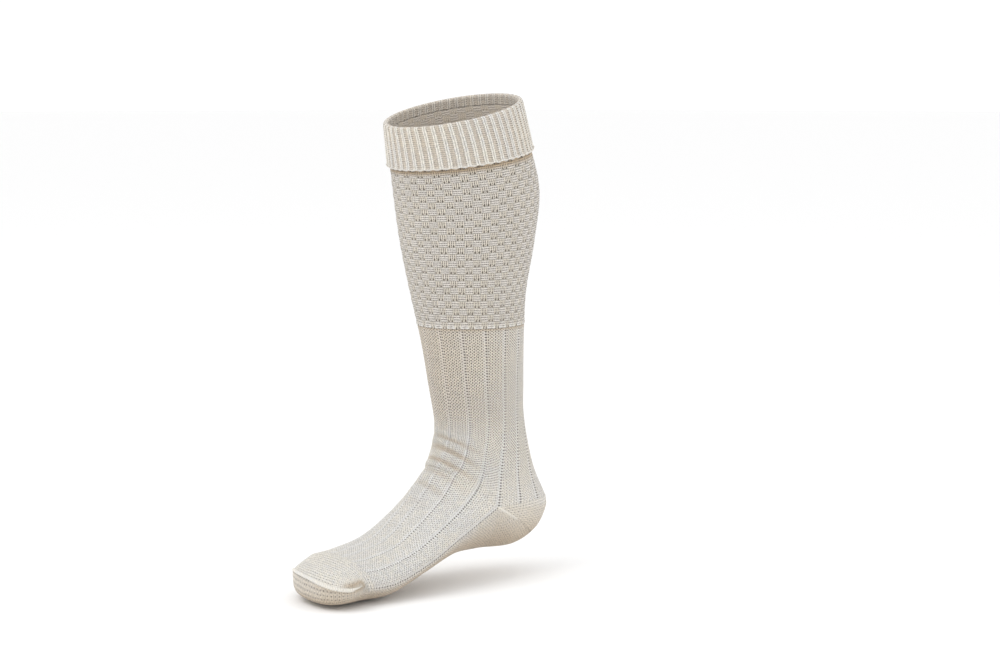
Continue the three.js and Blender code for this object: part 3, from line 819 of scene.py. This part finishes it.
def wool(name, pattern):
    """Undyed wool, knitted in one of the sock's patterns, with shade painted into its colour."""
    size = knit()
    dyes = bpy.context.scene.sock_colours
    material = bpy.data.materials.new(name)
    material.use_nodes = True
    tree = material.node_tree
    tree.nodes.clear()
    start = Thread(tree)
    place = start.node("ShaderNodeTexCoord", output="Object")
    stitch = start.node("ShaderNodeUVMap", {"uv_map": "UVMap"}).split()
    marks = start.node("ShaderNodeAttribute", {"attribute_name": "marks"}, output="Vector").split()
    wander = start.node("ShaderNodeSeparateColor", inputs={"Color": noise(place, 170.0, 1.0).other("Color")})
    wale = stitch.other("X") + (wander.other("Red") - 0.5) * 0.22
    course = stitch.other("Y") + (wander.other("Green") - 0.5) * 0.4
    slack = place.split().other("Z").step(*size.foot_levels)
    height, hole_shade, cool_and_top_light = pattern(wale, course, marks.other("Z"), slack)
    height = height + (noise(place, 1500.0) - 0.5) * 0.3
    thick = noise(place, 330.0)
    speck = noise(place, 1050.0, 1.0).step(0.6, 0.38) * size.speckle
    # Painted shade in the gaps between stitches, with random specks, left out on bare yarn.
    stitch_shade_and_specks = ((hole_shade * thick.step(0.1, 0.6).blend(0.55, 1.0) + speck) * (1.0 - marks.other("Y"))).clamped()
    # Besides random tone, this takes the foot's cooler tone, which is painted light from above.
    tone = (thick * 0.5 + noise(place, 26.0) * 0.5 + cool_and_top_light).step(0.38, 0.68)
    base = paint(tone, dyes.yarn, dyes.grey)
    # Painted shade from the points' marks: folds, hems, borders, purl furrows, insides and undersides.
    base = paint(marks.other("X"), base, dyes.shade)
    base = paint(stitch_shade_and_specks, base, dyes.hollow_shade)
    bump = start.node("ShaderNodeBump", inputs={"Height": height, "Distance": size.yarn, "Strength": 0.9})
    inputs = {
        "Base Color": base,
        "Normal": bump,
        "Roughness": 0.9,
        "Sheen Weight": 0.2,
        "Sheen Roughness": 0.5,
        "Specular IOR Level": 0.2,
    }
    surface = start.node("ShaderNodeBsdfPrincipled", inputs=inputs)
    start.node("ShaderNodeOutputMaterial", inputs={"Surface": surface})
    return material


# Patterns


def plain_pattern(wale, course, ribbed, slack):
    """Like each pattern: the height of its stitches, how deep the painted shade in their gaps is and how
    much cooler their yarn looks, which on the foot is partly painted light from above.
    """
    side = from_line(wale)
    line = (side * 2.0) ** 5.0
    rows = from_line(course).step(0.5, 0.1)
    # Painted shade in the stitch gaps, along the wales' sides and between courses.
    hole_shade = hole_shade_at(side, from_line(course), 0.22) * 0.65 + line * 0.25 + rows * 0.08
    return knit_stitch(wale, course), hole_shade, 0.0


def rib_pattern(wale, course, ribbed, slack):
    period = knit().wales / knit().ribs
    away = ((wale / period + 0.5).fraction() - 0.5) * period
    furrow = (1.0 - abs(away).step(0.5, 0.7)) * ribbed
    # Painted shade in the stitch gaps of the purl furrows and between the wales.
    edge = hole_shade_at(away - 0.35, from_line(course) * 1.5, 0.34) * ribbed * 1.5
    faint = hole_shade_at(away + 0.4, from_line(course - 0.5) * 1.5, 0.26) * ribbed * slack.blend(0.35, 0.9)
    side = from_line(wale)
    tight = hole_shade_at(0.5 - side, from_line(course - 0.5), 0.22) * 0.75
    line = (side * 2.0) ** 4.0 * 0.16 + tight + hole_shade_at(side, from_line(course), 0.26)
    line = line * (1.0 - furrow) * slack.blend(0.6, 1.1)
    height = furrow.blend(knit_stitch(wale, course), purl_stitch(wale, course))
    # The foot's cooler tone below the foot levels is painted light from above.
    return height, edge + faint + line, furrow * 0.14 + slack.blend(0.05, -0.03)


def basket_pattern(wale, course, ribbed, slack):
    size = knit()
    across = wale / size.block_wales
    along = course / size.block_courses
    raised = ((across.floor() + along.floor()) / 2.0).fraction() * 2.0
    low = 1.0 - raised
    middle = from_line(wale - 0.5)
    end = along.fraction() * size.block_courses - (size.block_courses - 0.5)
    # Painted shade under the purl blocks, between the wales of the knit blocks and between the purl courses.
    lower = hole_shade_at(middle, end, 0.3) * 1.3 * low
    strand = from_line(wale * 2.0)
    lines = (strand.step(0.34, 0.0) * 0.6 + hole_shade_at(strand * 0.5, from_line(course), 0.18) * 1.1) * low
    strands = from_line(wale * 2.0 + 0.5).step(0.5, 0.1) * 0.7 + 0.22
    bars = from_line(course).step(0.36, 0.0) * strands * raised
    height = raised.blend(knit_stitch(wale - 0.5, course), purl_stitch(wale, course) + 0.2)
    return height, lower + lines + bars, raised * 0.24 - 0.06


def cuff_pattern(wale, course, ribbed, slack):
    away = from_line(wale / 2.0) * 2.0
    purl = away.step(0.44, 0.52)
    # Painted shade between the knit wales, beside them and between the purl bumps.
    spine = away.step(0.16, 0.05) * 0.4
    edge = hole_shade_at(away - 0.5, from_line(course), 0.2) * 0.35
    dashes = from_line(course + (wale * math.pi).sine() * 0.2).step(0.34, 0.1) * purl * 0.34
    height = purl.blend(away.step(0.0, 0.3), purl_stitch(wale * 0.5, course) * 0.6)
    return height, spine + edge + dashes, purl * 0.06


def seam_pattern(wale, course, ribbed, slack):
    height = purl_stitch(wale, course)
    # Painted shade where the links dip.
    return height, 0.25 * (1.0 - height), 0.0


# Pieces


class KnitPiece:
    """What the operators of the knitted pieces share."""

    bl_options = {"REGISTER"}


class SOCK_OT_cuff(KnitPiece, bpy.types.Operator):
    """Knit the turned-over cuff: ribbed fabric that folds outward over the rim and hangs to its hem"""

    bl_idname = "sock.cuff"
    bl_label = "Turned-over cuff"
    hem_scallop = 0.0004  # depth of the waves in the hem
    hem_width = 0.0021  # width of the smooth yarn at the hem
    dash_rise = 0.0003  # height of the purl dashes between the ribs
    inside_shade = 0.3

    @staticmethod
    def section(size):
        """The cuff's section, from the lip inside the leg over the rim and round the hem.

        Its rows are the drops from the rim, the distances outward, and how strong the ribs are.
        """
        outside = size.clearance + size.wall
        radius = (size.wall + outside) / 2
        middle = (outside - size.wall) / 2
        bead = size.wall / 2 + size.hem_bead
        low = size.cuff_drop - bead
        hem_middle = (size.clearance + outside + size.hem_bead) / 2
        turn = np.linspace(math.pi, 0.0, 11)
        hem = np.linspace(0.0, math.pi, 9)
        lip = np.linspace(size.cuff_lip, radius, 5)[:-1]
        flap_rows = int(round((low - radius) / knit().cuff_course * 4))
        flap = np.linspace(radius, low, flap_rows + 1)[1:-1]
        under = np.linspace(low, size.cuff_lip, 6)[1:]
        turn_strength = np.linspace(0.2, 1.0, len(turn))
        hem_out = hem_middle + (bead - size.hem_bead / 2) * np.cos(hem)
        parts = (
            (lip, -size.wall, 0.0),
            (radius - radius * np.sin(turn), middle + radius * np.cos(turn), turn_strength),
            (flap, outside, 1.0),
            (low + bead * np.sin(hem), hem_out, 0.7 * np.cos(hem / 2)),
            (under, size.clearance, 0.0),
            (lip[:1], -size.wall, 0.0),
        )
        return np.concatenate([np.broadcast_arrays(*part) for part in parts], axis=1)

    def execute(self, context):
        size = sizes()
        form = Form(size)
        drop, out, strength = self.section(size)
        gone = run_along(np.stack([drop, out], axis=-1))
        bare = bell(gone - gone[drop.argmax()], self.hem_width)[:, None]
        course = gone[:, None] / knit().cuff_course
        total = knit().cuff_ribs * 2
        wales = wale_columns(0, total, NARROW_COLUMNS)
        drop = drop[:, None]
        drop = drop - self.hem_scallop * bell(drop - size.cuff_drop, 0.002) * np.cos(math.pi * wales)
        rim = even_angles(form.leg, np.array([1.0]), wales / total)
        angle = rim - size.cuff_lean / (size.calf_width / 2) * (1.0 - drop / size.cuff_drop) ** 2
        at = form.at_drop(drop)
        away = np.abs((wales + 1.0) % 2.0 - 1.0)
        purl = smooth(away, 0.38, 0.56)
        ribs = knit().cuff_rib * (0.2 - purl - 0.6 * bell(away, 0.14))
        dashes = self.dash_rise * purl * (np.sin(math.pi * course) ** 2 - 0.5)
        relief = out[:, None] + strength[:, None] * (ribs + dashes)
        place = form.leg(at, angle) + form.outward(form.leg, at, angle) * relief[..., None]
        # Painted shade inside the lip and in the purl furrows, left out at the bare hem.
        inside = self.inside_shade * (out < 0)[:, None]
        marks = marks_of(np.maximum(0.5 * purl * (1.0 - bare), inside), 0.85 * bare)
        stitch = np.stack(np.broadcast_arrays(wales, course), axis=-1)
        piece = knitted_piece("sock_cuff", place, stitch, marks)
        finished(piece, "turnover_cuff", wool("cuff_wool", cuff_pattern))
        return {"FINISHED"}


class SOCK_OT_panel(KnitPiece, bpy.types.Operator):
    """Knit the calf panel: blocks of purl and knit in turn, like basket work"""

    bl_idname = "sock.panel"
    bl_label = "Calf panel"
    border_place = 0.0012  # the lower border's ridge above the panel's end
    border_width = 0.0011
    border_rise = 0.0002
    border_scallop = 0.0006
    hem_shade = 1.1  # strength of the shade under the cuff's hem
    hem_shade_width = 0.0042
    # Painted shade over the whole panel.
    painted_panel_shade = 0.28

    def execute(self, context):
        size = sizes()
        form = Form(size)
        course_height = knit().course
        hidden_end = size.cuff_drop - 2 * course_height
        top = size.cuff_lip + size.clearance
        hidden = np.linspace(top, hidden_end, 8)[:-1]
        shown_rows = int(round((size.panel_length - hidden_end) / course_height * 2))
        drops = np.concatenate([hidden, np.linspace(hidden_end, size.panel_length, shown_rows + 1)])[:, None]
        places = form.at_drop(drops)
        total = knit().panel_wales
        wales = wale_columns(0, total, NARROW_COLUMNS)
        angles = even_angles(form.leg, places[:, 0], wales / total) + size.leg_turn
        points, normals = bordered(
            row_at(form.leg, form.at_drop(top - course_height), angles[:1]),
            form.leg(places, angles),
            row_at(form.leg, form.at_drop(size.panel_length + course_height), angles[-1:]),
        )
        courses = (drops - size.panel_length) / course_height
        across = np.sin(math.pi * wales / knit().block_wales)
        along = np.sin(math.pi * (courses / knit().block_courses + 1e-6))
        block = smooth(-across * along, -0.3, 0.3)
        seen = smooth(drops, size.cuff_drop - 0.004, size.cuff_drop + 0.002)
        ridges = 1.4 * wale_relief(wales - 0.5) * (1.0 - block)
        border = bell(size.panel_length - self.border_place - drops, self.border_width)
        scallop = border * (0.5 + 0.5 * np.cos(math.pi * wales))
        relief = seen * (knit().block_rise * (block - 0.6) + ridges)
        relief = relief + self.border_rise * border + self.border_scallop * scallop
        # Painted shadow under the cuff's hem and painted shade over the panel, left off the border's
        # scallops.
        under_hem = self.hem_shade * bell(drops - size.cuff_drop - 0.001, self.hem_shade_width)
        marks = marks_of(np.maximum(under_hem, self.painted_panel_shade) * (1.0 - scallop), scallop)
        piece = knit_wall("sock_calf_panel", points, normals, wales, courses, relief, marks)
        finished(piece, "calf_panel", wool("basket_wool", basket_pattern))
        return {"FINISHED"}


class SOCK_OT_leg(KnitPiece, bpy.types.Operator):
    """Knit the ribbed leg from the calf panel to the gore course, with the ankle's folds"""

    bl_idname = "sock.leg"
    bl_label = "Ribbed leg"
    border_shade = 0.8  # strength of the shade under the panel's border
    border_shade_width = 0.0025

    @staticmethod
    def body_shade(form, places, angles):
        """Shade of the leg: deeper at the front above the folds, and at the back below them."""
        above_folds = smooth(places, 0.3 * form.fold_zone, 0.6 * form.fold_zone)
        above = 0.28 + 0.2 * np.cos(angles + math.radians(10))
        below = 0.075 - 0.075 * np.cos(angles - math.radians(20))
        return mix(below, above, above_folds)

    def execute(self, context):
        form = Form(sizes())
        rows = int(round(form.fold_zone * form.leg_rise / knit().leg_course * 2))
        places = np.linspace(form.fold_zone, 0.0, rows + 1)[:, None]
        wales = wale_columns(0, knit().wales)
        angles = even_angles(form.leg, places[:, 0], wales / knit().wales) + form.turn(places)
        angles = form.rounded(places * form.leg_rise, angles)
        foot = row_at(form.foot, FOOT_STEP, angles[-1:])
        heel = row_at(form.heel, FOOT_STEP, angles[-1:])
        points, normals = bordered(
            row_at(form.leg, form.fold_zone + LEG_STEP, angles[:1]),
            form.leg(places, angles),
            np.where((wales <= knit().wales / 2)[:, None], foot, heel),
        )
        fold = form.fold(places, angles)
        # Painted shade in the folds' troughs, lessened on their ridges, under the panel's border, and over
        # the leg where less light falls.
        hollow_shade = fold_shade(fold)
        from_border = (form.fold_zone - places) * form.leg_rise
        under_border = self.border_shade * bell(from_border, self.border_shade_width)
        body = self.body_shade(form, places, angles) * (1.0 + np.minimum(hollow_shade, 0.0))
        marks = marks_of(np.maximum(np.maximum(hollow_shade, under_border), body), 0.0, 1.0)
        courses = np.arange(rows + 1)[:, None] / 2.0
        piece = knit_wall("sock_ribbed_leg", points, normals, wales, courses, rib_relief(wales), marks, fold)
        finished(piece, "ribbed_leg", wool("rib_wool", rib_pattern))
        return {"FINISHED"}


class SOCK_OT_foot(KnitPiece, bpy.types.Operator):
    """Knit the foot: ribs along the instep and a plain sole"""

    bl_idname = "sock.foot"
    bl_label = "Ribbed foot"

    def execute(self, context):
        form = Form(sizes())
        start = form.toe_start()
        _, run = even_places(form.foot, 0.0, start, 1)
        rows = int(round(run / knit().leg_course * 2))
        places, _ = even_places(form.foot, 0.0, start, rows)
        half = knit().wales // 2
        wales = wale_columns(0, knit().wales)
        angles = even_angles(form.foot, places, wales / knit().wales)
        places = places[:, None]
        angles = form.rounded(places * form.instep_run * form.leg_rise, angles)
        front = wales <= half
        leg = row_at(form.leg, LEG_STEP, angles[:1])
        heel = row_at(form.heel, 1.0 - FOOT_STEP, angles[:1])
        points, normals = bordered(
            np.where(front[:, None], leg, heel),
            form.foot(places, angles),
            row_at(form.foot, start + FOOT_STEP, angles[-1:]),
        )
        fold = form.fold(-places * form.instep_run, angles) * front
        on_instep = wales <= half + 0.5
        relief = np.where(on_instep, rib_relief(wales), wale_relief(wales))
        # Painted shade in the folds and under the foot.
        marks = marks_of(np.maximum(fold_shade(fold), under_shade(normals)), 0.0, on_instep)
        courses = np.arange(rows + 1)[:, None] / 2.0
        piece = knit_wall("sock_ribbed_foot", points, normals, wales, courses, relief, marks, fold)
        finished(piece, "ribbed_foot", bpy.data.materials["rib_wool"])
        return {"FINISHED"}


class SOCK_OT_heel(KnitPiece, bpy.types.Operator):
    """Knit the heel pocket: half courses fanned about the gore points"""

    bl_idname = "sock.heel"
    bl_label = "Heel pocket"
    rows = 56
    gore_row = 32  # row along which the upper and the lower half courses meet
    gore_rise = 0.0003
    gore_width = 0.001

    def execute(self, context):
        form = Form(sizes())
        shares = np.linspace(0.0, 1.0, self.rows + 1)
        half = knit().wales // 2
        wales = wale_columns(half, 2 * half)
        angles = even_angles(form.heel, shares, wales / knit().wales)
        points, normals = bordered(
            row_at(form.leg, LEG_STEP, angles[:1]),
            form.heel(shares[:, None], angles),
            row_at(form.foot, FOOT_STEP, angles[-1:]),
            closes=False,
        )
        gone = run_along(points)
        upper = (np.arange(self.rows + 1) <= self.gore_row)[:, None]
        courses = np.where(upper, gone, gone - gone[-1:]) / knit().leg_course
        at_side = smooth(np.abs(wales - 1.5 * half) / (half / 2), 0.62, 0.72)
        line = bell(gone - gone[self.gore_row], self.gore_width) * at_side
        relief = wale_relief(wales) + self.gore_rise * line
        # Painted shade under the heel, lifted along the gore line.
        marks = marks_of(under_shade(normals) * (1.0 - 0.8 * line), 0.8 * line)
        piece = knit_wall("sock_heel_pocket", points, normals, wales, courses, relief, marks)
        finished(piece, "heel_pocket", wool("plain_wool", plain_pattern))
        return {"FINISHED"}


class SOCK_OT_toe(KnitPiece, bpy.types.Operator):
    """Knit the plain toe: a short tube, then an upper and a lower fan that meet under the seam"""

    bl_idname = "sock.toe"
    bl_label = "Toe pocket"
    tube_rows = 4
    fan_rows = 40
    below_width = 0.005  # reach of the painted shade below the seam
    above_middle = 0.0035  # middle and reach of the painted shade above the seam's inner end
    above_width = 0.0025

    def execute(self, context):
        form = Form(sizes())
        wales = wale_columns(0, knit().wales)
        start = form.toe_start()
        tube_at = np.linspace(start, len(FOOT_SECTIONS) - 1.0, self.tube_rows + 1)
        fan_at = np.linspace(0.0, 1.0, self.fan_rows + 1)[1:]
        tube_angles = even_angles(form.foot, tube_at, wales / knit().wales)
        fan_angles = even_angles(form.toe, fan_at, wales / knit().wales)
        tube = form.foot(tube_at[:, None], tube_angles)
        fans = form.toe(fan_at[:, None], fan_angles)
        points, normals = bordered(
            row_at(form.foot, start - FOOT_STEP, tube_angles[:1]),
            np.concatenate([tube, fans]),
            row_at(form.toe, fan_at[-2], math.pi - fan_angles[-1:]),
            borders=(0,),
        )
        courses = run_along(points).mean(axis=1)[:, None] / knit().leg_course
        fade = 1.0 - smooth(np.linspace(0.0, 1.0, len(points)), 0.9, 1.0)
        relief = wale_relief(wales) * fade[:, None]
        shares = np.concatenate([np.zeros(len(tube_at)), fan_at])[:, None]
        # Painted shade under the toe and beside the seam.
        marks = marks_of(np.maximum(under_shade(normals), self.seam_shade(form, points, shares, wales)))
        cut_row = len(points) - 1
        piece = knit_wall("sock_toe_pocket", points, normals, wales, courses, relief, marks, cut_row=cut_row)
        finished(piece, "toe_pocket", bpy.data.materials["plain_wool"])
        return {"FINISHED"}

    def seam_shade(self, form, points, shares, wales):
        """Painted shade below the toe's seam, and above its inner end where the fabric is drawn in."""
        centre, angle, place = form.seam(60)
        away = np.linalg.norm(points[:, :, None] - centre, axis=-1)
        nearest = away.argmin(axis=-1)
        away = away.min(axis=-1)
        under = (wales > knit().wales / 2) | (shares > place[nearest])
        inner = angle[nearest]
        below = (0.3 + 0.5 * smooth(inner, 0.2, 1.1)) * bell(away, self.below_width)
        above = 0.8 * smooth(inner, 0.8, 1.2) * bell(away - self.above_middle, self.above_width)
        return np.where(under, below, above)


class SOCK_OT_seam(KnitPiece, bpy.types.Operator):
    """Link the toe: a rolled ridge of stitches across the toe's end"""

    bl_idname = "sock.seam"
    bl_label = "Toe seam"
    columns = 240
    sides = 14
    reach = 0.08  # share of the toe over which the seam takes its slope
    taper = 0.007  # length over which its ends grow thick
    link = 0.0019  # length of one link
    link_swell = 0.16

    def execute(self, context):
        size = sizes()
        form = Form(size)
        centre, angle, share = form.seam(self.columns)
        above = form.beside_seam(angle, share, self.reach)
        across = unit(above - form.beside_seam(angle, share, -self.reach))
        along = unit(np.gradient(centre, axis=0))
        outward = unit(np.cross(along, across))
        gore = form.toe_gore
        within = np.array([gore["middle"], gore["side_y"], gore["side_z"]]) - form.origin
        outward *= np.sign((outward * (centre - within)).sum(axis=1, keepdims=True))
        turn = np.linspace(0.0, 2.0 * math.pi, self.sides + 1)
        gone = run_along(centre)
        end = np.minimum(gone, gone[-1] - gone)
        thick = np.sqrt(np.clip(end / self.taper, 0.0, 1.0)) + 1e-4
        thick *= (1.0 + self.link_swell * np.sin(2.0 * math.pi * gone / self.link)) / 2
        wide = thick[:, None] * size.seam_width * np.cos(turn)
        high = thick[:, None] * size.seam_height * np.sin(turn) + size.clearance + size.seam_height / 2
        place = centre[:, None] + across[:, None] * wide[..., None] + outward[:, None] * high[..., None]
        place[0] = place[0].mean(axis=0)
        place[-1] = place[-1].mean(axis=0)
        stitch = np.stack(np.broadcast_arrays(turn / math.pi, gone[:, None] / self.link), axis=-1)
        marks = marks_of(np.zeros(place.shape[:2]), 0.6)
        piece = knitted_piece("sock_toe_seam", place, stitch, marks)
        finished(piece, "toe_seam", wool("seam_wool", seam_pattern))
        return {"FINISHED"}


# Stage

KEY_PLACE = (-0.2, -1.5, 1.7)  # places of the lights from the point that the camera looks at
FILL_PLACE = (1.5, 0.9, 0.5)


class SOCK_OT_stage(bpy.types.Operator):
    """Set up the plain floor, the soft light and the camera"""

    bl_idname = "sock.stage"
    bl_label = "Stage"

    def execute(self, context):
        stage = context.scene.sock_stage
        bpy.ops.object.select_all(action="DESELECT")
        bpy.ops.mesh.primitive_circle_add(
            vertices=96, radius=stage.floor_radius, fill_type="NGON", location=(0.0, 0.0, stage.floor)
        )
        floor = context.object
        floor.name = "floor"
        floor.data.materials.append(self.floor_material(stage))
        world = bpy.data.worlds.new("soft_sky")
        world.use_nodes = True
        world.node_tree.nodes["Background"].inputs["Color"].default_value = (1.0, 1.0, 1.0, 1.0)
        world.node_tree.nodes["Background"].inputs["Strength"].default_value = stage.sky
        context.scene.world = world
        context.scene.view_settings.view_transform = "Standard"
        target = Vector(stage.target)
        self.light("key", target, KEY_PLACE, stage.key, stage.light_size)
        self.light("fill", target, FILL_PLACE, stage.fill, stage.light_size)
        bpy.ops.object.camera_add(location=target + self.direction(stage) * stage.distance)
        camera = context.object
        camera.name = "camera"
        camera.rotation_euler = (-self.direction(stage)).to_track_quat("-Z", "Y").to_euler()
        camera.data.lens = stage.lens
        camera.data.clip_end = 100.0
        context.scene.camera = camera
        return {"FINISHED"}

    @staticmethod
    def direction(stage):
        """Unit vector from the sock to the camera."""
        level = math.cos(stage.elevation)
        across = math.sin(stage.azimuth) * level
        forward = -math.cos(stage.azimuth) * level
        return Vector((across, forward, math.sin(stage.elevation)))

    @staticmethod
    def floor_material(stage):
        material = bpy.data.materials.new("floor_pale")
        material.use_nodes = True
        surface = material.node_tree.nodes["Principled BSDF"]
        surface.inputs["Base Color"].default_value = (*stage.floor_colour, 1.0)
        surface.inputs["Roughness"].default_value = 0.9
        surface.inputs["Specular IOR Level"].default_value = 0.1
        return material

    @staticmethod
    def light(name, target, offset, power, side):
        bpy.ops.object.light_add(type="AREA", location=target + Vector(offset))
        light = bpy.context.object
        light.name = name
        light.data.energy = power
        light.data.size = side
        light.rotation_euler = (-Vector(offset)).to_track_quat("-Z", "Y").to_euler()


class SOCK_PT_panel(bpy.types.Panel):
    """Lists the pieces of the sock and their sizes"""

    bl_idname = "SOCK_PT_panel"
    bl_label = "Kilt hose sock"
    bl_space_type = "VIEW_3D"
    bl_region_type = "UI"
    bl_category = "Sock"

    def draw(self, context):
        layout = self.layout
        for operator in OPERATORS:
            layout.operator(operator.bl_idname)
        for group in GROUPS:
            values = getattr(context.scene, group)
            for name in values.__annotations__:
                layout.prop(values, name)


GROUPS = {
    "sock_sizes": SockSizes,
    "sock_knit": KnitSizes,
    "sock_colours": WoolColours,
    "sock_stage": StageSizes,
}
OPERATORS = (
    SOCK_OT_stage,
    SOCK_OT_cuff,
    SOCK_OT_panel,
    SOCK_OT_leg,
    SOCK_OT_foot,
    SOCK_OT_heel,
    SOCK_OT_toe,
    SOCK_OT_seam,
)


def register():
    for cls in (*GROUPS.values(), *OPERATORS, SOCK_PT_panel):
        bpy.utils.register_class(cls)
    for name, group in GROUPS.items():
        setattr(bpy.types.Scene, name, PointerProperty(type=group))


def unregister():
    for name in GROUPS:
        delattr(bpy.types.Scene, name)
    for cls in reversed((*GROUPS.values(), *OPERATORS, SOCK_PT_panel)):
        bpy.utils.unregister_class(cls)


def main():
    register()
    bpy.ops.sock.stage()
    bpy.ops.sock.cuff()
    bpy.ops.sock.panel()
    bpy.ops.sock.leg()
    bpy.ops.sock.foot()
    bpy.ops.sock.heel()
    bpy.ops.sock.toe()
    bpy.ops.sock.seam()


if __name__ == "__main__":
    main()
